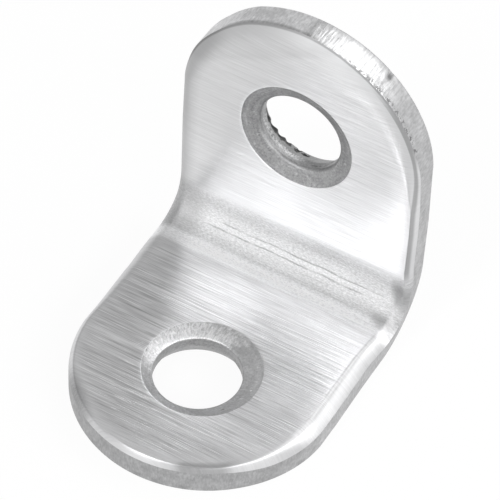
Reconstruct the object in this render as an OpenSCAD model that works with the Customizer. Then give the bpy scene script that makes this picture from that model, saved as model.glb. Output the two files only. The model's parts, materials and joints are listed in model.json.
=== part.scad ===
// Angle bracket: one strip of sheet steel, bent once to a right angle.
// Each leg has a round end and one countersunk hole.
// The lower leg lies flat on z = 0 and points to -Y. The upright leg stands behind it.
// X runs across the strip. The origin is the middle of the ground that the bracket covers.

/* [Strip] */
// Width of the strip, along the bend
strip_w = 16; // [12:0.5:20]
// Thickness of the sheet
sheet_t = 2; // [1.6:0.1:2.4]

/* [Legs] */
// Lower leg, from the back of the bracket to its round end
base_len = 19.6; // [18:0.1:26]
// Upright leg, from the underside to its round end
wall_len = 20.2; // [18:0.1:26]
// How far the round ends are flatter than a half circle: added to half the width
end_crown = 0.02; // [0.01:0.01:0.2]

/* [Bend] */
// Inside radius of the bend
bend_r = 2.6; // [1.1:0.1:3.6]

/* [Rolled edge] */
// Width of the rolled edge round the inner faces
roll_w = 1.8; // [0.7:0.05:2]
// How far the rolled edge drops below the inner face
roll_drop = 0.7; // [0.3:0.05:0.7]

/* [Holes] */
// Lower hole's axis, from the back of the bracket
base_hole_y = 12.3; // [9:0.1:14]
// Upper hole's axis, from the underside
wall_hole_z = 12.4; // [9:0.1:14]
// Bore of both holes
bore_d = 5.4; // [4:0.1:6]
// Mouth of the countersink, on the inner face
sink_d = 7.3; // [6.5:0.1:8.5]
// Depth of the countersink
sink_depth = 0.4; // [0.2:0.05:0.6]
// How much the punch broke each bore wider all round, at the outer face
breakout_flare = 0.5; // [0.1:0.05:0.6]
// How deep that breakout reaches into the sheet
breakout_depth = 0.9; // [0.2:0.05:0.9]

/* [Hidden] */
$fn = 96;
steel = [0.76, 0.77, 0.78];
half_w = strip_w / 2;
end_r = half_w + end_crown;
bend_outer_r = bend_r + sheet_t;
// The plane of the upright leg's outer face
back_y = base_len / 2;
// The roll is one arc, level with the inner face and cut off by the side of the strip
roll_r = (roll_w * roll_w + roll_drop * roll_drop) / (2 * roll_drop);
// Cutters run this far past the faces they cut
past = 1;

// Section across the strip: x across, y up from the outer face
module strip_section() {
    intersection() {
        translate([-half_w, 0])
            square([strip_w, sheet_t]);
        union() {
            translate([-half_w, 0])
                square([strip_w, sheet_t - roll_drop]);
            translate([roll_w - half_w, 0])
                square([strip_w - 2 * roll_w, sheet_t]);
            for (side = [-1, 1])
                translate([side * (half_w - roll_w), sheet_t - roll_r])
                    circle(roll_r);
        }
    }
}

// Half section of the round end, from its centre to its rim
module end_section() {
    intersection() {
        square([end_r, sheet_t]);
        union() {
            square([end_r, sheet_t - roll_drop]);
            square([end_r - roll_w, sheet_t]);
            translate([end_r - roll_w, sheet_t - roll_r])
                circle(roll_r);
        }
    }
}

// One leg lying on z = 0: it starts where the bend ends and points to +Y
module leg(length) {
    intersection() {
        translate([0, length + past, 0])
            rotate([90, 0, 0])
                linear_extrude(length + past - bend_outer_r)
                    strip_section();
        union() {
            translate([0, length - end_r, 0])
                rotate_extrude()
                    end_section();
            translate([-end_r, bend_outer_r, 0])
                cube([2 * end_r, length - end_r - bend_outer_r, sheet_t]);
        }
    }
}

// The quarter turn between the legs, about its own axis
module bend() {
    rotate([0, 90, 0])
        rotate_extrude(angle = 90)
            translate([bend_outer_r, 0])
                rotate(90)
                    strip_section();
}

// Cutter for one hole, standing on the outer face
module hole() {
    bore_r = bore_d / 2;
    sink_slope = (sink_d / 2 - bore_r) / sink_depth;
    breakout_slope = breakout_flare / breakout_depth;
    translate([0, 0, -past])
        cylinder(r = bore_r, h = sheet_t + 2 * past);
    translate([0, 0, sheet_t - sink_depth])
        cylinder(r1 = bore_r, r2 = sink_d / 2 + past * sink_slope, h = sink_depth + past);
    translate([0, 0, -past])
        cylinder(r1 = bore_r + breakout_flare + past * breakout_slope, r2 = bore_r, h = breakout_depth + past);
}

// Places a leg or its hole in the lower leg
module at_base() {
    translate([0, back_y, 0])
        rotate([0, 0, 180])
            children();
}

// Places a leg or its hole in the upright leg
module at_wall() {
    translate([0, back_y, 0])
        rotate([90, 0, 0])
            children();
}

module bracket() {
    color(steel)
        difference() {
            union() {
                at_base()
                    leg(base_len);
                at_wall()
                    leg(wall_len);
                translate([0, back_y - bend_outer_r, bend_outer_r])
                    bend();
            }
            at_base()
                translate([0, base_hole_y, 0])
                    hole();
            at_wall()
                translate([0, wall_hole_z, 0])
                    hole();
        }
}

bracket();
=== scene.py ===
import json
import math

import bpy
import numpy as np
from mathutils import Matrix, Vector, noise


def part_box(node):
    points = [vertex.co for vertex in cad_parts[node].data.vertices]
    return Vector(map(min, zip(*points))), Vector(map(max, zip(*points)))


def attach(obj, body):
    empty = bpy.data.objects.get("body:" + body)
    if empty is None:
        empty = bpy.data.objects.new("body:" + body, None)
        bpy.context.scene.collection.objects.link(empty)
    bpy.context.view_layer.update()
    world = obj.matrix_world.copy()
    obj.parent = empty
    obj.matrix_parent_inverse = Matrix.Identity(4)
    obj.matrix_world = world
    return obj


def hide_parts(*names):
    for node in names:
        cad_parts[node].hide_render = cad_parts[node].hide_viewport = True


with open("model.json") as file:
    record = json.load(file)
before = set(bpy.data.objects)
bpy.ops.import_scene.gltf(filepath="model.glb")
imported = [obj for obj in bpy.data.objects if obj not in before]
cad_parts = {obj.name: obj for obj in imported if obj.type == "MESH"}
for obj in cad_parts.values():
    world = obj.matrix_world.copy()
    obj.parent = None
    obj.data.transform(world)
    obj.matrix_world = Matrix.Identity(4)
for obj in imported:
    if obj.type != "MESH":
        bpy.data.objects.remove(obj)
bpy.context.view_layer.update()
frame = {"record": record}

# Sizes in millimetres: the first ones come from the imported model, the others repeat its source
MM = 0.001
low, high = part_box("bracket")
mounts = {m["name"]: m for m in frame["record"]["mounts"]}
HALF_W = round((high.x - low.x) / MM / 2, 2)
BACK = round(high.y / MM, 2)
LENGTH = {"base": round((high.y - low.y) / MM, 1), "wall": round((high.z - low.z) / MM, 1)}
HOLE = {"base": BACK - mounts["base_hole"]["pos_m"][1] / MM, "wall": mounts["wall_hole"]["pos_m"][2] / MM}
BORE_R = mounts["base_hole"]["dims"]["r_mm"]
SHEET = 2.0
BEND_R = 2.6
BEND_OUT = BEND_R + SHEET
END_CROWN = 0.02
END_R = HALF_W + END_CROWN
ROLL_DROP = 0.7
SINK_R = 3.65
SINK_DEPTH = 0.4
BREAK_FLARE = 0.5
BREAK_DEPTH = 0.9

# Tables of places along the outline in millimetres, each with a value
# 0 is on the lower leg's left side. Then come its front, the right side through the bend, the upright leg's
# end and the left side
# How wide the roll really turns down, and the power of its curve (2 is round, 1 is a chamfer)
ROLL_TURN = ((0.0, 0.9), (4.0, 0.6), (7.0, 0.4), (10.0, 0.3), (14.0, 0.2), (17.5, 0.22), (19.5, 0.12),
             (22.0, 0.12), (24.0, 0.3), (27.5, 0.75), (30.0, 0.8), (34.0, 0.75), (37.4, 0.6), (38.8, 0.3),
             (42.0, 0.25), (46.0, 0.25), (51.0, 1.3), (58.0, 1.7), (68.0, 1.7), (72.0, 0.8), (80.0, 0.9))
ROLL_POWER = ((0.0, 2.0), (24.0, 2.0), (28.0, 1.35), (37.4, 1.35), (38.8, 2.0), (58.0, 1.8), (68.0, 1.8),
              (72.0, 2.0))
# Share of the roll that is missing, at the front and round the upright leg's end
SHALLOW = ((9.0, 0.0), (13.0, 0.25), (22.0, 0.35), (25.0, 0.0), (46.0, 0.0), (49.0, 0.4), (51.0, 0.6),
           (57.5, 0.6), (60.0, 0.4), (68.0, 0.4), (71.0, 0.0))
# How far the outline swells
SWELL = ((0.0, 0.09), (3.0, 0.0), (23.0, 0.04), (27.5, 0.15), (30.5, 0.15), (34.0, 0.06), (38.0, 0.02),
         (44.0, 0.06), (48.0, -0.04), (52.0, -0.04), (58.0, 0.09), (61.5, 0.13), (64.5, 0.12), (67.0, -0.05),
         (73.0, -0.05), (76.0, 0.0), (82.0, -0.04), (83.0, 0.04), (84.5, 0.2), (85.7, 0.16), (87.2, 0.09))
# How far the bend presses the right side's upper corner out past the lower one, and where along the strip
BEND_PRESS = 0.2
PRESS_MIDDLE, PRESS_HALF = -0.4, 3.2

# Wear that goes into the shape, in millimetres, and in degrees round a hole
# Lip of each countersink: radius, and how far its middle lies off the hole's axis, across and along the
# strip. Then the same for the bores
LIP = {"base": (3.58, 0.12, 0.12), "wall": (3.67, 0.0, 0.0)}
BORE = {"base": (2.66, -0.09, -0.04), "wall": (2.66, 0.0, 0.0)}
# How far the bore's upper end is rounded over
ROUNDING = {"base": 0.35, "wall": 1.3}
# Torn pits in the upper bore: direction, height, half width, half height, depth
PITS = ((-171, 0.4, 5, 0.25, 0.08), (-157, 0.3, 5, 0.35, 0.14), (-143, 0.2, 7, 0.45, 0.22),
        (-129, 0.15, 6, 0.42, 0.22), (-118, 0.12, 4, 0.35, 0.16), (-103, 0.15, 3, 0.3, 0.14),
        (-92, 0.3, 4, 0.2, 0.1))
# Dents in the rim: place along the outline, height, half length, half height, depth
DENTS = ((55.3, 0.16, 0.3, 0.3, 0.1), (45.4, 0.75, 0.12, 0.3, 0.02))
# Stretch of the outline whose corner kept its burr, how it fades at each end, its height, its reach up and
# down, and the scale and seed of its noise
BURR = (50.2, 57.4)
BURR_FADE = (1.5, 1.0)
BURR_HEIGHT = 0.03
BURR_REACH = 0.15
BURR_SCALE, BURR_SEED = 2.6, 3
# How far the start of the punch's breakout wavers, how finely, on a circle of noise, and its seeds
TEAR_WAVE = 0.12
TEAR_SCALE = 1.1
TEAR_CIRCLE = 3
TEAR_SEED = {"base": 9, "wall": 5}
# A crack painted on the upper bore, not cut into its shape: direction and height of its points
CRACK = ((-74, 1.22), (-62, 1.25), (-55, 1.3), (-45, 1.14), (-37, 1.04))

# How finely the mesh is cut
# Width of the border that follows the outline, and how far from a hole's lip the mesh of its leg ends
BAND = 2.0
CUT_GAP = 1.1
# Stretches along each side of a leg, round its end and across the middle
N_SIDE, N_ARC, N_ACROSS = 36, 180, 100
# Rows across the strip: on each leg and, closer together, through the bend and a margin beyond it
N_LEG, N_BEND, BEND_MARGIN = 18, 64, 0.4
# The border's rows: distances inside the outline on the outer face, distances and heights round its corner,
# heights up the rim, and distances in over the roll
UNDER_ROWS = (BAND, 1.2, 0.6, 0.3, 0.16, 0.08)
CORNER_FACE, CORNER_RIM = (0.045, 0.004), (0.015, 0.015)
RIM_ROWS = (0.05, 0.1, 0.2, 0.32, 0.46, 0.6, 0.74, 0.88, 1.0, 1.1, 1.18, 1.24, 1.28)
ROLL_ROWS = (0.006, 0.02, 0.045, 0.08, 0.12, 0.16, 0.2, 0.25, 0.3, 0.36, 0.43, 0.5, 0.58, 0.67, 0.77, 0.88,
             1.0, 1.1, 1.25, 1.45, 1.7, BAND)
# Rows nearer to the outline than this are lifted by the burr
BURR_ROWS = 0.1
# A hole's rings: how far outside the lip and below the face, shares of the countersink's width, how far out
# and down on an edge rounded by 1 mm, then heights in the bore and in its broken part
LIP_MARGIN = 0.3
LIP_RINGS = ((LIP_MARGIN, 0.0), (0.12, 0.0), (0.035, 0.0), (0.006, 0.004))
CONE_RINGS = (0.95, 0.86, 0.75, 0.62, 0.5, 0.38, 0.27, 0.18)
CONE_EASE = 0.015
TURN_RINGS = ((0.1, -0.015), (0.06, 0.02), (0.028, 0.07), (0.008, 0.13))
BORE_RINGS = (1.38, 1.28, 1.18, 1.08, 1.0, 0.94)
TEAR_RINGS = (0.89, 0.83, 0.76, 0.69, 0.62, 0.55, 0.47, 0.39, 0.3, 0.21, 0.12, 0.05)
MOUTH_RINGS = ((0.0, 0.015), (0.03, 0.0), (0.12, 0.0))
# Rings above the first height aren't torn, and the breakout stops wavering below the second
TEAR_TOP, TEAR_END = 1.2, 0.03
# Rings on a leg's faces round its hole: shares of the way from the hole to the border
INNER_SHARES = (0.93, 0.85, 0.76, 0.67, 0.58, 0.49, 0.4, 0.32, 0.24, 0.16, 0.08)
OUTER_SHARES = (0.15, 0.35, 0.6, 1.0)
# Half the bend's length, measured on the inner face, and each leg's way along the strip
HALF_ARC = BEND_R * math.pi / 4
SIGN = {"base": -1, "wall": 1}
# How far apart the layers of one noise lie that two seeds choose
SEED_STEP = 7.31


def rough(x, y, scale, seed):
    """Smooth noise between -1 and 1 at points in millimetres"""
    return np.array([noise.noise(Vector((a * scale, b * scale, seed * SEED_STEP))) for a, b in zip(x, y)])


def place(x, s, h):
    """The strip's coordinates in space: x across, s along from the bend's middle, h up from the outer face"""
    x, s, h = np.broadcast_arrays(np.asarray(x, float), np.asarray(s, float), np.asarray(h, float))
    turn = np.clip((s + HALF_ARC) / BEND_R, 0, math.pi / 2)
    over = np.where(s < -HALF_ARC, s + HALF_ARC, np.where(s > HALF_ARC, s - HALF_ARC, 0.0))
    y = BACK - BEND_OUT + np.sin(turn) * (BEND_OUT - h) + np.cos(turn) * over
    z = BEND_OUT - np.cos(turn) * (BEND_OUT - h) + np.sin(turn) * over
    return np.stack([x, y, z], -1)


def along(leg, length):
    """Strip coordinate of a place on a leg, measured from the bracket's outer corner"""
    return SIGN[leg] * (HALF_ARC + length - BEND_OUT)


CUT = {leg: HOLE[leg] - SINK_R - CUT_GAP for leg in SIGN}
S_CUT = {leg: along(leg, CUT[leg]) for leg in SIGN}


def end_line(leg, d):
    """A leg's edge, d inside the outline, from one end of the cut line to the other, and the way out of it"""
    sign, r, x = SIGN[leg], END_R - d, HALF_W - d
    kink = math.asin(x / r)
    centre = LENGTH[leg] - END_R
    side = np.linspace(CUT[leg], centre + r * math.cos(kink), N_SIDE + 1)[:-1]
    angle = np.linspace(-kink, kink, N_ARC + 1)
    flat = np.ones(N_SIDE)
    xs = np.concatenate([-x * flat, r * np.sin(angle), x * flat])
    ss = along(leg, np.concatenate([side, centre + r * np.cos(angle), side[::-1]]))
    out_x = np.concatenate([-flat, np.sin(angle), flat])
    out_s = sign * np.concatenate([0 * flat, np.cos(angle), 0 * flat])
    return -sign * xs, ss, -sign * out_x, out_s


def middle_rows():
    """Strip coordinates of the rows between the two cut lines, closer together in the bend"""
    edge = HALF_ARC + BEND_MARGIN
    return np.concatenate([np.linspace(S_CUT["base"], -edge, N_LEG)[:-1], np.linspace(-edge, edge, N_BEND),
                           np.linspace(edge, S_CUT["wall"], N_LEG)[1:]])


ROWS = middle_rows()
COLUMNS = np.linspace(-(HALF_W - BAND), HALF_W - BAND, N_ACROSS + 1)


def loop(d):
    """The whole outline, d inside, anticlockwise as seen from the inner face"""
    x, rows = HALF_W - d, ROWS[1:-1]
    none = 0 * rows
    parts = [end_line("base", d), (x + none, rows, 1 + none, none),
             end_line("wall", d), (-x + none, rows[::-1], -1 + none, none)]
    return [np.concatenate(p) for p in zip(*parts)]


# Which points of the outline lie on each part of it; the sides take one point more of the legs at each end
N_END = 2 * N_SIDE + N_ARC + 1
N_ROW = len(ROWS) - 2
PART = {"base": np.arange(N_END), "right": np.arange(N_END - 1, N_END + N_ROW + 1),
        "wall": np.arange(N_END + N_ROW, 2 * N_END + N_ROW)}
PART["left"] = np.concatenate([np.arange(2 * N_END + N_ROW - 1, 2 * N_END + 2 * N_ROW), [0]])[::-1]


class Net:
    """Points and quads of the piece while it is made"""

    def __init__(self):
        self.points, self.quads, self.uvs, self.kinds, self.count = [], [], [], [], 0

    def add(self, x, s, h):
        p = place(x, s, h)
        self.points.append(p)
        self.count += len(p)
        return np.arange(self.count - len(p), self.count)

    def strip(self, a, b, uv_a, uv_b, kind, closed=True):
        """Quads between two lines of points. A closed line's uv has one more entry than its points"""
        if closed:
            a, b = np.append(a, a[0]), np.append(b, b[0])
        self.quads.append(np.stack([a[:-1], a[1:], b[1:], b[:-1]], -1))
        self.uvs.append(np.stack([uv_a[:-1], uv_a[1:], uv_b[1:], uv_b[:-1]], 1))
        self.kinds.append(np.full(len(a) - 1, kind))


# The piece's materials, and its uv: units a millimetre, and where 0 mm lies
FACE, RIM, WALL = 0, 1, 2
UV_SCALE = 0.02
UV_ZERO = 0.5
# Where each hole's lip lies in v
HOLE_V = {"base": 0.4, "wall": 0.8}


def face_uv(x, s, closed=True):
    uv = np.stack([UV_ZERO + UV_SCALE * np.asarray(s), UV_ZERO + UV_SCALE * np.asarray(x)], -1)
    return np.concatenate([uv, uv[:1]]) if closed else uv


def roll_height(d, turn, power):
    """Height of the rolled edge, d inside the outline, where it turns down over a width"""
    return SHEET - ROLL_DROP * (np.clip(turn - d, 0, None) / turn) ** power


def spare(h):
    """How much higher the rim or the roll would lie at a height if there were no roll"""
    corner = SHEET - ROLL_DROP
    return ROLL_DROP * np.where(h < corner, h / corner, (SHEET - h) / ROLL_DROP)


def run_length(x, s):
    """How far each point of a closed line lies along it, with the whole length last"""
    step = np.hypot(np.diff(np.append(x, x[0])), np.diff(np.append(s, s[0])))
    return np.concatenate([[0], np.cumsum(step)])


def hump(distance, half):
    """1 in the middle, falling smoothly to 0 at half"""
    return np.clip(1 - (distance / half) ** 2, 0, 1) ** 1.5


def dents(length, h):
    """How far the rim is pushed in at a height"""
    return sum(depth * hump(length - at, half_l) * hump(np.array(h - up), half_h)
               for at, up, half_l, half_h, depth in DENTS)


def burr(length):
    """Uneven height of the corner between rim and roll"""
    start, end = BURR
    window = np.clip((length - start) / BURR_FADE[0], 0, 1) * np.clip((end - length) / BURR_FADE[1], 0, 1)
    return BURR_HEIGHT * window * rough(length, 0 * length, BURR_SCALE, BURR_SEED)


def at_outline(length, table):
    """A table's values at places along the outline"""
    return np.interp(length, *zip(*table))


def edge_band(net):
    """Outer face's border, cut rim and rolled edge, round the strip. Gives the border's two inner lines"""
    under = [(d, 0.0, FACE) for d in UNDER_ROWS] + [(*CORNER_FACE, FACE), (*CORNER_RIM, RIM)]
    rim = [(0.0, h, RIM) for h in RIM_ROWS]
    roll = [(d, None, FACE) for d in ROLL_ROWS]
    closed_run = run_length(*loop(0)[:2])
    run = closed_run[:-1]
    turn, power = at_outline(run, ROLL_TURN), at_outline(run, ROLL_POWER)
    missing, swell = at_outline(run, SHALLOW), at_outline(run, SWELL)
    first = last = None
    for k, (d, h, kind) in enumerate(under + rim + roll):
        x, s, out_x, out_s = loop(d)
        h = np.broadcast_to(roll_height(d, turn, power) if h is None else h, run.shape)
        press = BEND_PRESS * hump(s - PRESS_MIDDLE, PRESS_HALF) * (x > 0)
        press = press * np.clip(h / (SHEET - ROLL_DROP), 0, 1)
        push = (dents(run, h) if kind == RIM else 0.0) - (swell + press) * (1 - d / BAND)
        lift = burr(run) * hump(h - RIM_ROWS[-1], BURR_REACH) if k >= len(under) and d < BURR_ROWS else 0.0
        ids = net.add(x - out_x * push, s - out_s * push, h + missing * spare(h) + lift)
        rim_uv = np.stack([UV_SCALE * closed_run, UV_ZERO + UV_SCALE * np.append(h, h[0])], -1)
        uv = {FACE: face_uv(x, s), RIM: rim_uv}
        if last is None:
            first = ids
        else:
            use = FACE if kind == last[2] == FACE else RIM
            net.strip(last[0], ids, last[1][use], uv[use], use)
        last = (ids, uv, kind)
    return first, last[0]


def hole_profile(leg):
    """Radius, height and kind from the inner face's lip down to the outer face"""
    lip_r, bore_r = LIP[leg][0], BORE[leg][0]
    mouth_r = bore_r + BREAK_FLARE
    slope = SINK_DEPTH / (lip_r - bore_r)
    sink_end = SHEET - SINK_DEPTH
    lip = [(lip_r + out, SHEET - drop, FACE) for out, drop in LIP_RINGS]
    cone = [bore_r + (lip_r - bore_r) * share for share in CONE_RINGS]
    cone = [(r, SHEET - (lip_r - r) * slope - CONE_EASE, WALL) for r in cone]
    turn = [(bore_r + ROUNDING[leg] * out, sink_end - ROUNDING[leg] * down, WALL) for out, down in TURN_RINGS]
    bore = [(bore_r, h, WALL) for h in BORE_RINGS]
    tear = [(bore_r + BREAK_FLARE * (1 - h / BREAK_DEPTH), h, WALL) for h in TEAR_RINGS]
    mouth = [(mouth_r + out, h, WALL if h else FACE) for out, h in MOUTH_RINGS]
    return lip + cone + turn + bore + tear + mouth


def torn(leg, angle, r, h):
    """Radii of one of the bore's rings: the start of the breakout wavers, and the upper bore has pits"""
    bore_r = BORE[leg][0]
    smooth_ring = r + 0 * angle
    if h > TEAR_TOP or r < bore_r:
        return smooth_ring
    wave = rough(TEAR_CIRCLE * np.cos(angle), TEAR_CIRCLE * np.sin(angle), TEAR_SCALE, TEAR_SEED[leg])
    start = BREAK_DEPTH + TEAR_WAVE * wave
    wide = bore_r + BREAK_FLARE * np.clip(1 - h / start, 0, 1) if h > TEAR_END else smooth_ring
    if leg == "wall":
        for at, up, half_w, half_h, depth in PITS:
            off = np.degrees(np.angle(np.exp(1j * (angle - math.radians(at)))))
            wide = wide + depth * hump(off, half_w) * hump(np.array(h - up), half_h)
    return wide


def leg_face(net, leg, inner_band, outer_band, inner_cut, outer_cut):
    """Both faces of a leg round its hole, and the hole's own walls"""
    way = -1 if leg == "base" else 1
    across = COLUMNS[1:-1][::way]
    x, s = end_line(leg, BAND)[:2]
    x = np.concatenate([x, across])
    s = np.concatenate([s, S_CUT[leg] + 0 * across])
    inner_border = np.concatenate([inner_band[PART[leg]], inner_cut[::way]])
    outer_border = np.concatenate([outer_band[PART[leg]], outer_cut[::way]])
    hole_s = along(leg, HOLE[leg])
    angle = np.arctan2(s - hole_s, x)
    cos, sin = np.cos(angle), np.sin(angle)
    profile = hole_profile(leg)

    def ring(r, offset, share):
        """Points a share of the way from a circle, off the hole's axis, to the border"""
        off_x, off_s = offset
        ring_x = (off_x + r * cos) * (1 - share) + x * share
        return ring_x, hole_s + (off_s + r * sin) * (1 - share) + (s - hole_s) * share

    ids, uv_was = inner_border, face_uv(x, s)
    for share in INNER_SHARES:
        px, ps = ring(profile[0][0], LIP[leg][1:], share)
        new = net.add(px, ps, SHEET)
        net.strip(ids, new, uv_was, face_uv(px, ps), FACE)
        ids, uv_was = new, face_uv(px, ps)

    turn = np.unwrap(np.append(angle, angle[0]))
    was, depth, uvs_was = None, 0.0, {FACE: uv_was}
    for r, h, kind in profile:
        wide = torn(leg, angle, r, h) if h < SHEET - SINK_DEPTH else r
        down = min(max((SHEET - h) / SINK_DEPTH, 0.0), 1.0)
        offset = [(1 - down) * a + down * b for a, b in zip(LIP[leg][1:], BORE[leg][1:])]
        px, ps = ring(wide, offset, 0.0)
        new = net.add(px, ps, h)
        if was is not None:
            depth += math.hypot(r - was[0], h - was[1])
        wall_v = HOLE_V[leg] - UV_SCALE * depth + 0 * turn
        wall_uv = np.stack([UV_ZERO + UV_SCALE * BORE_R * turn, wall_v], -1)
        uvs = {FACE: face_uv(px, ps), WALL: wall_uv}
        use = WALL if was is not None and WALL in (kind, was[2]) else FACE
        net.strip(ids, new, uvs_was[use], uvs[use], use)
        ids, uvs_was, was = new, uvs, (r, h, kind)

    uv_was = uvs_was[FACE]
    for share in OUTER_SHARES:
        px, ps = ring(profile[-1][0], BORE[leg][1:], share)
        new = outer_border if share == 1.0 else net.add(px, ps, 0.0)
        net.strip(ids, new, uv_was, face_uv(px, ps), FACE)
        ids, uv_was = new, face_uv(px, ps)


def middle(net, inner_band, outer_band):
    """Both faces between the two cut lines, through the bend; gives the points on the cut lines"""
    cuts = {}
    for name, band, h in (("inner", inner_band, SHEET), ("outer", outer_band, 0.0)):
        right, left = band[PART["right"]], band[PART["left"]]
        rows = []
        for k, s in enumerate(ROWS):
            between = net.add(COLUMNS[1:-1], s + 0 * COLUMNS[1:-1], h)
            rows.append(np.concatenate([[left[k]], between, [right[k]]]))
        for k in range(len(rows) - 1):
            uv_a, uv_b = (face_uv(COLUMNS, ROWS[j] + 0 * COLUMNS, False) for j in (k, k + 1))
            if name == "inner":
                net.strip(rows[k], rows[k + 1], uv_a, uv_b, FACE, False)
            else:
                net.strip(rows[k + 1], rows[k], uv_b, uv_a, FACE, False)
        cuts[name] = (rows[0][1:-1], rows[-1][1:-1])
    return cuts


def bracket_mesh():
    """The whole dressed piece as one closed mesh"""
    net = Net()
    outer_band, inner_band = edge_band(net)
    cuts = middle(net, inner_band, outer_band)
    leg_face(net, "base", inner_band, outer_band, cuts["inner"][0], cuts["outer"][0])
    leg_face(net, "wall", inner_band, outer_band, cuts["inner"][1], cuts["outer"][1])
    points = np.concatenate(net.points) * MM
    quads = np.concatenate(net.quads)
    mesh = bpy.data.meshes.new("bracket_dressed")
    mesh.from_pydata(points.tolist(), [], quads.tolist())
    layer = mesh.uv_layers.new(name="strip")
    layer.data.foreach_set("uv", np.concatenate(net.uvs).reshape(-1))
    mesh.polygons.foreach_set("material_index", np.concatenate(net.kinds).astype(np.int32))
    mesh.shade_smooth()
    mesh.update()
    return mesh


# Materials
# How much of a grey goes into red, green and blue, and how a noise's shift is spread over its axes
TINT = (0.9955, 0.9975, 1.0075)
SHIFT_SHARES = (1.0, 1.7, 0.3)


class Graph:
    """A material's nodes, written as short lines"""

    def __init__(self, name):
        self.material = bpy.data.materials.new(name)
        self.material.use_nodes = True
        self.nodes, self.links = self.material.node_tree.nodes, self.material.node_tree.links
        self.nodes.clear()

    def node(self, kind, inputs=(), **settings):
        n = self.nodes.new(kind)
        for k, v in settings.items():
            setattr(n, k, v)
        for k, v in dict(inputs).items():
            if isinstance(v, bpy.types.NodeSocket):
                self.links.new(v, n.inputs[k])
            else:
                n.inputs[k].default_value = v
        return n

    def math(self, operation, a, b=0.0):
        return self.node("ShaderNodeMath", {0: a, 1: b}, operation=operation).outputs[0]

    def ramp(self, value, low, high, to_low=0.0, to_high=1.0, **settings):
        ends = {"Value": value, "From Min": low, "From Max": high, "To Min": to_low, "To Max": to_high}
        return self.node("ShaderNodeMapRange", ends, **settings).outputs["Result"]

    def smooth(self, *values):
        """A ramp that starts and ends softly"""
        return self.ramp(*values, interpolation_type="SMOOTHSTEP")

    def invert(self, mask):
        return self.math("SUBTRACT", 1.0, mask)

    def centred(self, pattern):
        """A noise around 0 instead of around a half"""
        return self.math("SUBTRACT", pattern, 0.5)

    def times(self, *values):
        total = values[0]
        for v in values[1:]:
            total = self.math("MULTIPLY", total, v)
        return total

    def plus(self, *values):
        total = values[0]
        for v in values[1:]:
            total = self.math("ADD", total, v)
        return total

    def between(self, value, middle, half, edge):
        """1 within half of the middle, falling to 0 over the edge"""
        distance = self.math("ABSOLUTE", self.math("SUBTRACT", value, middle))
        return self.smooth(distance, half, half + edge, 1.0, 0.0)

    def window(self, value, start, end):
        """1 between a start and an end, each a stretch over which it rises or falls"""
        return self.times(self.smooth(value, *start), self.smooth(value, *end, 1.0, 0.0))

    def spot(self, p, middle, half, turn=0.0, hard=0.2):
        """1 in the middle of a turned ellipse, falling to 0 at its border"""
        inputs = {"Vector": p, "Location": (*middle, 0), "Rotation": (0, 0, math.radians(turn)),
                  "Scale": (*half, 1)}
        local = self.node("ShaderNodeMapping", inputs, vector_type="TEXTURE").outputs["Vector"]
        reach = self.node("ShaderNodeVectorMath", {0: local}, operation="LENGTH").outputs["Value"]
        return self.smooth(reach, hard, 1.0, 1.0, 0.0)

    def darken(self, value, mask, amount):
        """Takes a share away where the mask is 1. A negative share makes it brighter"""
        return self.math("MULTIPLY", value, self.ramp(mask, 0.0, 1.0, 1.0, 1.0 - amount))

    def bump(self, height):
        """A bump from a height in millimetres"""
        return self.node("ShaderNodeBump", {"Strength": 1.0, "Distance": MM, "Height": height}).outputs[0]

    def noise(self, vector, detail=2.0, roughness=0.5):
        inputs = {"Vector": vector, "Scale": 1.0, "Detail": detail, "Roughness": roughness}
        return self.node("ShaderNodeTexNoise", inputs).outputs["Fac"]

    def stretch(self, vector, x, y, z=1.0, shift=0.0):
        """A vector scaled for a noise, and shifted so that no two noises look alike"""
        location = [shift * share for share in SHIFT_SHARES]
        n = self.node("ShaderNodeMapping", {"Vector": vector, "Scale": (x, y, z), "Location": location})
        return n.outputs["Vector"]

    def strip_uv(self):
        return self.node("ShaderNodeUVMap", uv_map="strip").outputs["UV"]


def strip_coordinates(g):
    """The strip's coordinates in millimetres, along it and across it"""
    zero, scale = (UV_ZERO, UV_ZERO, 0), (1 / UV_SCALE, 1 / UV_SCALE, 0)
    moved = g.node("ShaderNodeVectorMath", {0: g.strip_uv(), 1: zero}, operation="SUBTRACT").outputs[0]
    return g.node("ShaderNodeVectorMath", {0: moved, 1: scale}, operation="MULTIPLY").outputs[0]


def metal(g, value, roughness, height, aniso):
    """Closes a material: a grey value, a roughness, a bump from a height and brushing along the uv"""
    tangent = g.node("ShaderNodeTangent", direction_type="UV_MAP", uv_map="strip").outputs[0]
    inputs = {"Base Color": grey(g, value), "Metallic": 1.0, "Roughness": roughness, "Normal": g.bump(height),
              "Tangent": tangent, "Anisotropic": aniso}
    shader = g.node("ShaderNodeBsdfPrincipled", inputs).outputs[0]
    g.node("ShaderNodeOutputMaterial", {"Surface": shader})
    return g.material


def grey(g, value):
    """A faintly cool grey from one number"""
    channels = {k: g.math("MULTIPLY", value, share) for k, share in enumerate(TINT)}
    return g.node("ShaderNodeCombineColor", channels).outputs[0]


def edge_distance(g, s, x):
    """How far inside the outline a point of the face lies"""
    centre = {leg: along(leg, LENGTH[leg] - END_R) for leg in SIGN}
    beyond = g.math("ADD", g.math("MAXIMUM", g.math("SUBTRACT", s, centre["wall"]), 0.0),
                    g.math("MAXIMUM", g.math("SUBTRACT", centre["base"], s), 0.0))
    radius = g.math("SQRT", g.math("ADD", g.math("MULTIPLY", x, x), g.math("MULTIPLY", beyond, beyond)))
    return g.math("SUBTRACT", HALF_W, radius)


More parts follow.
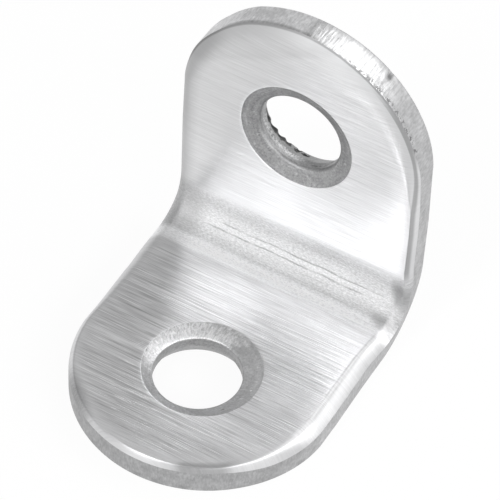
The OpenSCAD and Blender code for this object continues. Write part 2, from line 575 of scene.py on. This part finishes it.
# Noises of the brushed face: how often they change along and across the strip, shift, detail and roughness
BRUSHING = {
    "fine": (15, 0.42, 0.0, 2.0, 0.6),
    "bold": (8.5, 0.2, 5.3, 2.0, 0.55),
    "broad": (1.4, 0.06, 3.1, 3.0, 0.6),
    "bright": (13, 0.26, 11.0, 1.0, 0.5),
    "dark": (13, 0.22, 17.0, 1.0, 0.5),
    "mottle": (13, 5, 0.0, 3.0, 0.75),
    "streaky": (2.2, 0.3, 7.0, 3.0, 0.6),
}
# Which part of a noise makes a single line
LINE_EDGE = (0.58, 0.66)
# Where the lower leg's coarser brushing starts, along the strip
LOWER_LEG = (-2.4, -1.2)
# Bands across the strip: place along it, half width and fading. The bend's matt band, two bands of painted
# shade in it with their shares, the line of painted highlight below it and where it reaches over the roll,
# and the band of painted shade above it
BENT = (0.1, 1.2, 1.4)
SHADE_BANDS = (((1.6, 0.25, 0.9), 1.0), ((-0.6, 0.15, 0.6), 0.9))
HIGHLIGHT_LINE = (-1.5, 0.2, 0.45)
HIGHLIGHT_LINE_ROLLED = (-1.5, 0.4, 0.5)
SHADE_BAND_ABOVE = (3.1, 0.6, 1.6)
# The rolled edge, by distance inside the outline: where it blunts the brushing, and its two lines of painted
# shade
ROLLED = (0.3, 1.1)
ROLL_SHADE_LINE = (0.19, 0.05, 0.08)
RIM_SHADE_LINE = (0.0, 0.06, 0.09)
# Right and left side of the strip, across it, and the roll's patch of painted shade at the front, across it
RIGHT_SIDE, LEFT_SIDE = (4.0, 6.5), (-6.5, -4.5)
FRONT_SHADE_PATCH = (3.9, 0.9, 0.9)
# The upright leg's upper right corner, greyed by painted shade, lies past a slanting line: its slope, and
# over which stretch the painted shade comes in
CORNER_SLOPE = 0.53
CORNER_START = (15.9, 16.5)
# Spots of painted light and shade on the brushed face: place along and across, half sizes, turn, how much
# darker
PAINTED_LIGHT_SPOTS = {
    "brighter below the bend": ((-4.4, -1.6), (2.8, 3.4), 0, -0.2),
    "brighter right of the lower hole": ((-9.3, 4.6), (2.6, 1.6), 0, -0.18),
    "brighter before the lower hole": ((-12.9, 3.6), (1.7, 4.2), 0, -0.16),
    "left end of the bend": ((0.0, -6.8), (2.6, 1.9), 0, 0.3),
    "right end of the bend": ((0.9, 7.6), (1.3, 0.7), -25, 0.42),
    "below the right end": ((-1.1, 7.3), (0.6, 1.2), 20, 0.4),
    "front left corner": ((-15.2, -5.5), (1.2, 3.8), 41, 0.52),
}
# The ring of painted highlight round each countersink: how far outside the lip, half width and fading
LIP_RING = (0.1, 0.04, 0.07)
# Creases pressed into the bend: place along the strip, from and to across it
CREASES = ((0.42, -4.6, 6.8), (0.02, -5.2, 5.6))
# How far a crease wavers, its half width and fading, and how it fades towards its ends
CREASE_WAVE = 0.3
CREASE_HALF, CREASE_FADE = 0.01, 0.06
CREASE_END, CREASE_END_FADE = 0.8, 1.2
# Single scratches on the face: from and to, along and across, and their half width
SCRATCHES = (((-13.41, -4.9), (-13.46, -3.2)), ((-14.08, -3.3), (-14.1, -2.1)),
             ((-11.57, -4.2), (-11.5, -3.2)))
SCRATCH_HALF = 0.05


def line_mask(g, p, start, end, half, longer=0.0):
    """1 on a straight line between two places"""
    (s0, x0), (s1, x1) = start, end
    length = math.hypot(s1 - s0, x1 - x0)
    turn = math.degrees(math.atan2(x1 - x0, s1 - s0))
    return g.spot(p, ((s0 + s1) / 2, (x0 + x1) / 2), (length / 2 + longer, half), turn, 0.4)


def bend_marks(g, p, s, x):
    """Depth of the creases, between 0 and 1"""
    waver = g.times(g.centred(g.noise(g.stretch(p, 0.0, 0.5, shift=2.0), 3.0)), CREASE_WAVE)
    level = g.math("SUBTRACT", s, waver)
    worn = g.smooth(g.noise(g.stretch(p, 3, 0.8, shift=9.0), 2.0), 0.36, 0.5, 0.45, 1.0)
    total = 0.0
    for place_s, x0, x1 in CREASES:
        ends = g.between(x, (x0 + x1) / 2, (x1 - x0) / 2 - CREASE_END, CREASE_END_FADE)
        mark = g.times(g.between(level, place_s, CREASE_HALF, CREASE_FADE), ends)
        total = g.math("MAXIMUM", total, mark)
    return g.times(total, worn)


def lip_highlight_mask(g, p, s, x, leg):
    """A narrow ring of painted highlight on the face just outside the countersink, brighter to the left and
    the front
    """
    r, off_x, off_s = LIP[leg]
    gap, half, fade = LIP_RING
    hole_s = along(leg, HOLE[leg])
    centre = (hole_s + off_s, off_x, 0)
    out = g.node("ShaderNodeVectorMath", {0: p, 1: centre}, operation="DISTANCE").outputs["Value"]
    side = g.plus(g.times(g.math("SUBTRACT", s, hole_s), -0.2), g.times(x, -0.2))
    return g.times(g.between(out, r + gap, half, fade), g.smooth(side, -0.3, 0.6, 0.2, 1.0))


def brushed_steel():
    g = Graph("brushed_steel")
    p = strip_coordinates(g)
    split = g.node("ShaderNodeSeparateXYZ", {0: p}).outputs
    s, x = split[0], split[1]
    inside = edge_distance(g, s, x)
    noises = {name: g.noise(g.stretch(p, often_s, often_x, shift=shift), detail, roughness)
              for name, (often_s, often_x, shift, detail, roughness) in BRUSHING.items()}
    fine, bold, broad, mottle = (noises[name] for name in ("fine", "bold", "broad", "mottle"))
    bright_lines, dark_lines = (g.smooth(noises[name], *LINE_EDGE) for name in ("bright", "dark"))

    # Masks: the bend stretched the face to a matt, grainy band, and rolling blunted the lines at the edges
    lower_leg = g.smooth(s, *LOWER_LEG, 1.0, 0.0)
    bent = g.between(s, *BENT)
    rolled = g.smooth(inside, *ROLLED, 1.0, 0.0)
    blunt = g.math("MAXIMUM", bent, g.times(rolled, 0.3))
    creases = bend_marks(g, p, s, x)
    shade_bands = g.math("MAXIMUM", *(g.times(g.between(s, *band), share) for band, share in SHADE_BANDS))
    right, left = g.smooth(x, *RIGHT_SIDE), g.smooth(x, *LEFT_SIDE, 1.0, 0.0)

    # Brushing: lines across the strip, coarser on the lower leg, with single bright and dark ones
    coarse = g.plus(g.times(lower_leg, g.smooth(x, -4.0, 4.0, 1.1, 0.85), g.smooth(s, -7.0, -3.0, 1.0, 0.8)),
                    g.times(g.invert(lower_leg), g.smooth(x, -3.0, 4.0, 0.3, 0.5)))
    grain = g.plus(g.times(fine, 0.55), g.times(bold, 0.33), g.times(broad, 0.12))
    lines = g.plus(g.times(g.centred(grain), 1.9), g.times(bright_lines, 0.18), g.times(dark_lines, -0.14))
    lines = g.times(lines, coarse, g.ramp(bent, 0.0, 1.0, 1.0, 0.6), g.ramp(rolled, 0.0, 1.0, 1.0, 0.25))

    # Painted light and shade: each leg's level, falling a little to the right and changing up the upright
    # leg, with the upright leg darker at its left and lighter at its right
    level = g.plus(g.smooth(s, 5.0, 10.0, 0.75, 0.69), g.smooth(s, -2.0, -1.0, -0.06, 0.0),
                   g.smooth(s, -12.0, -7.0, 0.04, 0.0))
    upright_shading = g.plus(1.0, g.times(g.smooth(s, 5.0, 8.0), g.smooth(x, -3.0, 4.0, -0.04, 0.07)))
    value = g.times(g.plus(lines, 1.0), level, g.smooth(x, 2.0, 7.0, 1.0, 0.95), upright_shading,
                    g.ramp(blunt, 0.0, 1.0, 1.0, 0.94))

    # The bend: bands of painted shade, grain and painted shade in the creases, then the painted highlight
    # line below it and the band of painted shade above it
    value = g.darken(value, g.times(shade_bands, g.ramp(noises["streaky"], 0.35, 0.65)), 0.1)
    value = g.times(value, g.ramp(g.times(bent, g.centred(mottle)), -0.3, 0.3, 0.62, 1.38))
    value = g.darken(value, creases, 0.34)
    value = g.darken(value, g.between(s, *HIGHLIGHT_LINE), -0.42)
    value = g.darken(value, g.times(g.between(s, *SHADE_BAND_ABOVE), g.smooth(x, -3.0, 4.0, 0.2, 1.4)), 0.045)

    # The rolled edge: painted shade in a line at the upright leg's right and along the rim at its top, a
    # painted highlight on the right below the bend, painted shade at the front, at the upright leg's left and
    # at its corner
    value = g.darken(value, g.times(g.between(inside, *ROLL_SHADE_LINE), right, g.smooth(s, 1.6, 2.8)), 0.4)
    value = g.darken(value, g.times(g.between(inside, *RIM_SHADE_LINE), g.smooth(s, 11.0, 13.0)), 0.4)
    value = g.darken(value, g.times(g.between(s, *HIGHLIGHT_LINE_ROLLED), g.smooth(inside, 0.3, 0.6, 1.0, 0.0),
                                    right), -0.1)
    value = g.darken(value, g.times(g.between(x, *FRONT_SHADE_PATCH), g.smooth(inside, 0.2, 0.6, 1.0, 0.0),
                                    g.smooth(s, -14.0, -12.0, 1.0, 0.0)), 0.35)
    value = g.darken(value, g.times(g.smooth(inside, 0.5, 1.6, 1.0, 0.0), left, g.smooth(s, 0.5, 2.0)), 0.22)
    value = g.darken(value, g.smooth(g.math("SUBTRACT", s, g.times(x, CORNER_SLOPE)), *CORNER_START), 0.08)

    # Spots of painted light and shade, scratches and the ring of painted highlight round each hole
    for middle, half, turn, amount in PAINTED_LIGHT_SPOTS.values():
        mask = g.times(g.spot(p, middle, half, turn), g.ramp(mottle, 0.25, 0.6, 0.6, 1.0))
        value = g.darken(value, mask, amount)
    for start, end in SCRATCHES:
        value = g.darken(value, line_mask(g, p, start, end, SCRATCH_HALF), -0.35)
    for leg in SIGN:
        value = g.darken(value, lip_highlight_mask(g, p, s, x, leg), -0.05)

    roughness = g.plus(g.ramp(broad, 0.3, 0.7, 0.28, 0.32), g.times(blunt, 0.2), g.times(rolled, 0.12))
    aniso = g.ramp(blunt, 0.0, 1.0, 0.75, 0.35)
    brushing = g.plus(g.times(fine, 0.006), g.times(bold, 0.009), g.times(broad, 0.006),
                      g.times(bright_lines, 0.004))
    brushing = g.times(brushing, g.ramp(bent, 0.0, 1.0, 1.0, 0.5), g.ramp(rolled, 0.0, 1.0, 1.0, 0.4))
    height = g.plus(brushing, g.times(mottle, bent, 0.03), g.times(creases, -0.015))
    return metal(g, value, roughness, height, aniso)


# The rim, along the outline: its front darkened by painted shade, by middle, half and fading. Then where the
# painted light on the upright leg's top and left side, the burnished patch's painted highlight across the rim
# and the line of painted shade under the roll each begin and end
FRONT_RIM_SHADE = (15.5, 8.5, 5.0)
CROWN_RIM_LIGHT = ((60.3, 61.0), (76.0, 84.0))
BURNISHED_HIGHLIGHT = ((53.7, 55.6), (60.1, 60.4))
LOWER_SHADE_LINE = ((59.0, 60.5), (64.5, 68.0))
# Specks where the burr was left: middle, half and fading along the outline
SPECKS = (54.0, 3.0, 1.5)
# Painted shade in the dents: place along the outline and height, half sizes, turn, how much darker
DENT_SHADE = (((55.3, 0.2), (0.3, 0.34), 0, 0.45), ((45.4, 0.8), (0.07, 0.35), 15, 0.3))


def cut_rim():
    g = Graph("cut_rim")
    split = g.node("ShaderNodeSeparateXYZ", {0: g.strip_uv()}).outputs
    run = g.math("DIVIDE", split[0], UV_SCALE)
    up = g.math("DIVIDE", g.math("SUBTRACT", split[1], UV_ZERO), UV_SCALE)
    p = g.node("ShaderNodeCombineXYZ", {0: run, 1: up}).outputs[0]
    marks = g.noise(g.stretch(p, 7, 3), 4.0, 0.65)
    patches = g.noise(g.stretch(p, 1.1, 1.6, shift=4.0), 3.0, 0.6)
    strokes = g.noise(g.stretch(p, 7.5, 0.8, shift=6.0), 2.0, 0.6)
    value = g.times(g.ramp(marks, 0.3, 0.7, 0.41, 0.61), g.ramp(patches, 0.3, 0.7, 0.88, 1.12))
    # Painted shade on the rim's front, painted light on the upright leg's top and left side
    value = g.darken(value, g.between(run, *FRONT_RIM_SHADE), 0.16)
    value = g.darken(value, g.window(run, *CROWN_RIM_LIGHT), -0.42)

    # Burnished patch, smoother, with a ragged border and strokes across the rim; its brightness is a painted
    # highlight
    ragged = g.plus(run, g.times(g.centred(g.noise(g.stretch(p, 1.5, 3.0, shift=1.0), 3.0)), 0.7))
    patch = g.times(g.window(ragged, *BURNISHED_HIGHLIGHT), g.smooth(up, 0.06, 0.42, 0.25, 1.0))
    bright = g.times(patch, g.smooth(strokes, 0.38, 0.58, 0.25, 1.0), g.smooth(marks, 0.3, 0.5, 0.6, 1.0))
    value = g.plus(g.times(value, g.invert(bright)), g.times(bright, 0.86))

    # Painted shade in the dents
    for middle, half, turn, amount in DENT_SHADE:
        value = g.darken(value, g.spot(p, middle, half, turn, 0.3), amount)
    specks = g.smooth(g.noise(g.stretch(p, 5.5, 5.0, shift=8.0), 2.0, 0.6), 0.5, 0.62)
    specks = g.times(specks, g.smooth(up, 0.98, 1.2), g.between(run, *SPECKS))
    value = g.darken(value, specks, 0.5)
    # Painted shade: a dark line under the roll at the upright leg's end
    value = g.darken(value, g.times(g.smooth(up, 1.05, 1.22), g.window(run, *LOWER_SHADE_LINE)), 0.35)

    roughness = g.ramp(patch, 0.0, 1.0, 0.55, 0.38)
    height = g.plus(g.times(marks, 0.012), g.times(patches, 0.02), g.times(strokes, patch, 0.02),
                    g.times(specks, -0.03))
    return metal(g, value, roughness, height, 0.2)


# The lower countersink: direction of its chattered side, which also gets a painted highlight, in degrees
CHATTERED = 138
# The upper bore: from and to which direction its lower end is torn, and how that fades in
TORN = (-178, -84)
TORN_INSET, TORN_FADE = 0.5, 0.6
# Height of the torn end's line of painted highlight above the breakout, half width and fading
TORN_HIGHLIGHT_LINE = (0.16, 0.06, 0.16)
# How far the pits' painted shade wanders, and how much wider and higher it is than their shape
PIT_WANDER = 0.5
PIT_WIDER, PIT_HIGHER = 1.5, 1.25
# Half width of the crack, and how far each of its stretches runs on past its points
CRACK_HALF, CRACK_ON = 0.035, 0.06
# Painted shade in a nick and a painted glint in the lower countersink: direction and height, half sizes, how
# much darker
NICK_SHADE_AND_GLINT = (((-35, 2.2), (0.16, 0.05), 0.55), ((4, 2.3), (0.06, 0.07), -0.9))


def on_wall(degrees, height):
    """A place on the bore's wall unrolled: how far round it, and its height"""
    return math.radians(degrees) * BORE_R, height


def hole_wall():
    g = Graph("hole_wall")
    split = g.node("ShaderNodeSeparateXYZ", {0: g.strip_uv()}).outputs
    upper = g.math("GREATER_THAN", split[1], (HOLE_V["base"] + HOLE_V["wall"]) / 2)
    lower = g.invert(upper)
    lip = g.ramp(upper, 0.0, 1.0, HOLE_V["base"], HOLE_V["wall"])
    deep = g.math("DIVIDE", g.math("SUBTRACT", lip, split[1]), UV_SCALE)
    angle = g.math("DIVIDE", g.math("SUBTRACT", split[0], UV_ZERO), UV_SCALE * BORE_R)
    cos, sin = g.math("COSINE", angle), g.math("SINE", angle)
    p = g.node("ShaderNodeCombineXYZ", {0: g.times(cos, BORE_R), 1: g.times(sin, BORE_R), 2: deep}).outputs[0]
    slant = math.hypot(SINK_R - BORE_R, SINK_DEPTH) + LIP_MARGIN
    cone = g.smooth(deep, slant - 0.14, slant + 0.06, 1.0, 0.0)

    # Cutting marks, and the chatter on one side of the lower countersink and in rougher patches of both
    chatter = g.noise(g.stretch(p, 10, 10, 4.0), 4.0, 0.75)
    fine = g.noise(g.stretch(p, 8, 8, 8, shift=2.0), 4.0, 0.7)
    patches = g.noise(g.stretch(p, 1.6, 1.6, 2.5, shift=5.0), 3.0, 0.6)
    rings = g.noise(g.stretch(p, 0.35, 0.35, 5.0, shift=9.0), 2.0, 0.6)
    way = math.radians(CHATTERED)
    facing = g.plus(g.times(cos, math.cos(way)), g.times(sin, math.sin(way)),
                    g.times(g.centred(patches), 0.7))
    chattered_and_highlit = g.times(g.smooth(facing, 0.3, 0.6), lower, cone)
    rough_cut = g.times(g.smooth(patches, 0.5, 0.62), cone)
    strong = g.math("MAXIMUM", chattered_and_highlit, g.times(rough_cut, 0.5))
    value = g.plus(0.5, g.times(g.centred(fine), 0.5), g.times(g.centred(patches), 0.2),
                   g.times(g.centred(rings), 0.22), g.times(g.centred(chatter), strong, 1.5))
    # Painted highlight on the chattered side and at the lower countersink's right, painted shade in the upper
    # hole and the lower bore
    value = g.plus(value, g.times(chattered_and_highlit, g.smooth(deep, 0.2, slant, 0.14, 0.4)), g.times(upper, -0.11),
                   g.times(lower, g.invert(cone), -0.13), g.times(lower, cone, g.smooth(cos, 0.3, 0.9), 0.11))
    roughness = g.ramp(chattered_and_highlit, 0.0, 1.0, 0.5, 0.36)
    height = g.plus(g.times(chatter, strong, 0.03), g.times(fine, 0.012), g.times(rings, 0.01))

    # The wall unrolled, and the same with its places pushed about by a noise
    around = g.times(g.math("ARCTAN2", sin, cos), BORE_R)
    up = g.math("SUBTRACT", SHEET - SINK_DEPTH, g.math("SUBTRACT", deep, slant))
    unrolled = g.node("ShaderNodeCombineXYZ", {0: around, 1: up}).outputs[0]
    inputs = {"Vector": g.stretch(p, 4.5, 4.5, 4.5, shift=4.0), "Scale": 1.0, "Detail": 3.0}
    ragged = g.node("ShaderNodeTexNoise", inputs).outputs["Color"]
    ragged = g.node("ShaderNodeVectorMath", {0: ragged, 1: (0.5, 0.5, 0.5)}, operation="SUBTRACT").outputs[0]
    ragged = g.node("ShaderNodeVectorMath", {0: ragged, "Scale": PIT_WANDER}, operation="SCALE").outputs[0]
    moved = g.node("ShaderNodeVectorMath", {0: unrolled, 1: ragged}, operation="ADD").outputs[0]

    # The torn end of the upper bore: a painted highlight on the ragged metal, painted shade that makes the
    # pits black, and a crack
    torn_from, torn_to = (on_wall(at, 0)[0] for at in TORN)
    torn_half = (torn_to - torn_from) / 2 - TORN_INSET
    torn_part = g.between(around, (torn_from + torn_to) / 2, torn_half, TORN_FADE)
    above, line_half, line_fade = TORN_HIGHLIGHT_LINE
    shine = g.times(g.between(up, BREAK_DEPTH + above, line_half, line_fade), torn_part, upper,
                    g.smooth(fine, 0.42, 0.58))
    value = g.plus(value, g.times(shine, 0.22))
    pits = 0.0
    for at, height_at, half_w, half_h, _ in PITS:
        half = on_wall(PIT_WIDER * half_w, PIT_HIGHER * half_h)
        pits = g.math("MAXIMUM", pits, g.spot(moved, on_wall(at, height_at), half, 0, 0.75))
    value = g.darken(value, g.times(pits, upper), 0.88)
    for start, end in zip(CRACK, CRACK[1:]):
        crack = line_mask(g, unrolled, on_wall(*start), on_wall(*end), CRACK_HALF, CRACK_ON)
        value = g.darken(value, g.times(crack, upper), 0.6)
    # Painted shade in a nick and a painted glint in the lower countersink
    for place_on, half, amount in NICK_SHADE_AND_GLINT:
        value = g.darken(value, g.times(g.spot(unrolled, on_wall(*place_on), half, 0, 0.3), lower), amount)
    return metal(g, value, roughness, height, 0.3)


# Camera: the photograph's view, fitted to the outline and the holes
# Angles in degrees, and the target and the distance in millimetres
VIEW_AZIMUTH, VIEW_ELEVATION, VIEW_ROLL = 27.909, 47.883, 3.327
VIEW_TARGET = (-3.607, BACK - 0.059, -1.234)
VIEW_DISTANCE = 197.39
# Focal length in pixels of the photograph, the photograph's width in pixels and the sensor's in millimetres
FOCAL_PIXELS, FRAME_PIXELS, SENSOR = 3196.1, 500, 36.0
CLIP_METRES = (0.01, 10)


def make_camera():
    a, e, roll = (math.radians(v) for v in (VIEW_AZIMUTH, VIEW_ELEVATION, VIEW_ROLL))
    back = Vector((math.sin(a) * math.cos(e), -math.cos(a) * math.cos(e), math.sin(e)))
    right = Vector((math.cos(a), math.sin(a), 0))
    up = back.cross(right)
    right, up = right * math.cos(roll) + up * math.sin(roll), up * math.cos(roll) - right * math.sin(roll)
    data = bpy.data.cameras.new("camera")
    data.sensor_width = SENSOR
    data.lens = SENSOR * FOCAL_PIXELS / FRAME_PIXELS
    data.clip_start, data.clip_end = CLIP_METRES
    cam = bpy.data.objects.new("camera", data)
    bpy.context.scene.collection.objects.link(cam)
    spot = (Vector(VIEW_TARGET) + back * VIEW_DISTANCE) * MM
    turn = Matrix((right, up, back)).transposed().to_4x4()
    cam.matrix_world = Matrix.Translation(spot) @ turn
    bpy.context.scene.camera = cam


# Light
# Softboxes: azimuth from the front towards the right, elevation, half width and half height, all in degrees,
# and how bright their faces look
SOFTBOXES = {
    "front_strip": (-15, 37, 6, 22, 6.6),
    "rear_box": (154, 49, 22, 11.5, 2.1),
    "right_strip": (79, 31, 37, 8, 4.8),
}
# How far away the softboxes stand in metres, and the grey of the world
LAMP_DISTANCE = 0.4
WORLD_GREY = 0.52
# The floor: half its width in metres, its own grey, and how white it looks to the camera and in the metal
FLOOR_HALF = 1.5
FLOOR_GREY = 0.9
FLOOR_WHITE = 0.93


def softbox(name, azimuth, elevation, half_w, half_h, brightness):
    """An even, upright, rectangular lamp that faces the bracket"""
    a, e = math.radians(azimuth), math.radians(elevation)
    way = Vector((math.cos(e) * math.sin(a), -math.cos(e) * math.cos(a), math.sin(e)))
    data = bpy.data.lights.new(name, "AREA")
    data.shape = "RECTANGLE"
    data.size, data.size_y = (2 * LAMP_DISTANCE * math.tan(math.radians(half)) for half in (half_w, half_h))
    data.energy = brightness * math.pi * data.size * data.size_y
    lamp = bpy.data.objects.new(name, data)
    bpy.context.scene.collection.objects.link(lamp)
    facing = way.to_track_quat("Z", "Y").to_matrix().to_4x4()
    lamp.matrix_world = Matrix.Translation(way * LAMP_DISTANCE) @ facing
    lamp.visible_camera = False


def make_floor():
    mesh = bpy.data.meshes.new("floor")
    r = FLOOR_HALF
    mesh.from_pydata([(-r, -r, 0), (r, -r, 0), (r, r, 0), (-r, r, 0)], [], [(0, 1, 2, 3)])
    floor = bpy.data.objects.new("floor", mesh)
    bpy.context.scene.collection.objects.link(floor)
    g = Graph("pale_floor")
    rays = g.node("ShaderNodeLightPath")
    seen = g.math("MAXIMUM", g.math("MAXIMUM", rays.outputs["Is Camera Ray"], rays.outputs["Is Glossy Ray"]),
                  rays.outputs["Is Transmission Ray"])
    matt = g.node("ShaderNodeBsdfDiffuse", {"Color": (FLOOR_GREY, FLOOR_GREY, FLOOR_GREY, 1)}).outputs[0]
    white = g.node("ShaderNodeEmission", {"Color": (1, 1, 1, 1), "Strength": 1.0}).outputs[0]
    mix = g.node("ShaderNodeMixShader", {0: g.times(seen, FLOOR_WHITE), 1: matt, 2: white}).outputs[0]
    g.node("ShaderNodeOutputMaterial", {"Surface": mix})
    mesh.materials.append(g.material)


def make_world():
    world = bpy.data.worlds.new("studio")
    bpy.context.scene.world = world
    world.use_nodes = True
    background = world.node_tree.nodes["Background"].inputs
    background["Color"].default_value = (WORLD_GREY, WORLD_GREY, WORLD_GREY, 1)
    background["Strength"].default_value = 1.0


make_camera()
mesh = bracket_mesh()
for material in (brushed_steel(), cut_rim(), hole_wall()):
    mesh.materials.append(material)
piece = bpy.data.objects.new("bracket_dressed", mesh)
bpy.context.scene.collection.objects.link(piece)
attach(piece, "root")
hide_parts("bracket")
make_floor()
make_world()
for name, values in SOFTBOXES.items():
    softbox(name, *values)

scene = bpy.context.scene
scene.view_settings.view_transform = "Standard"
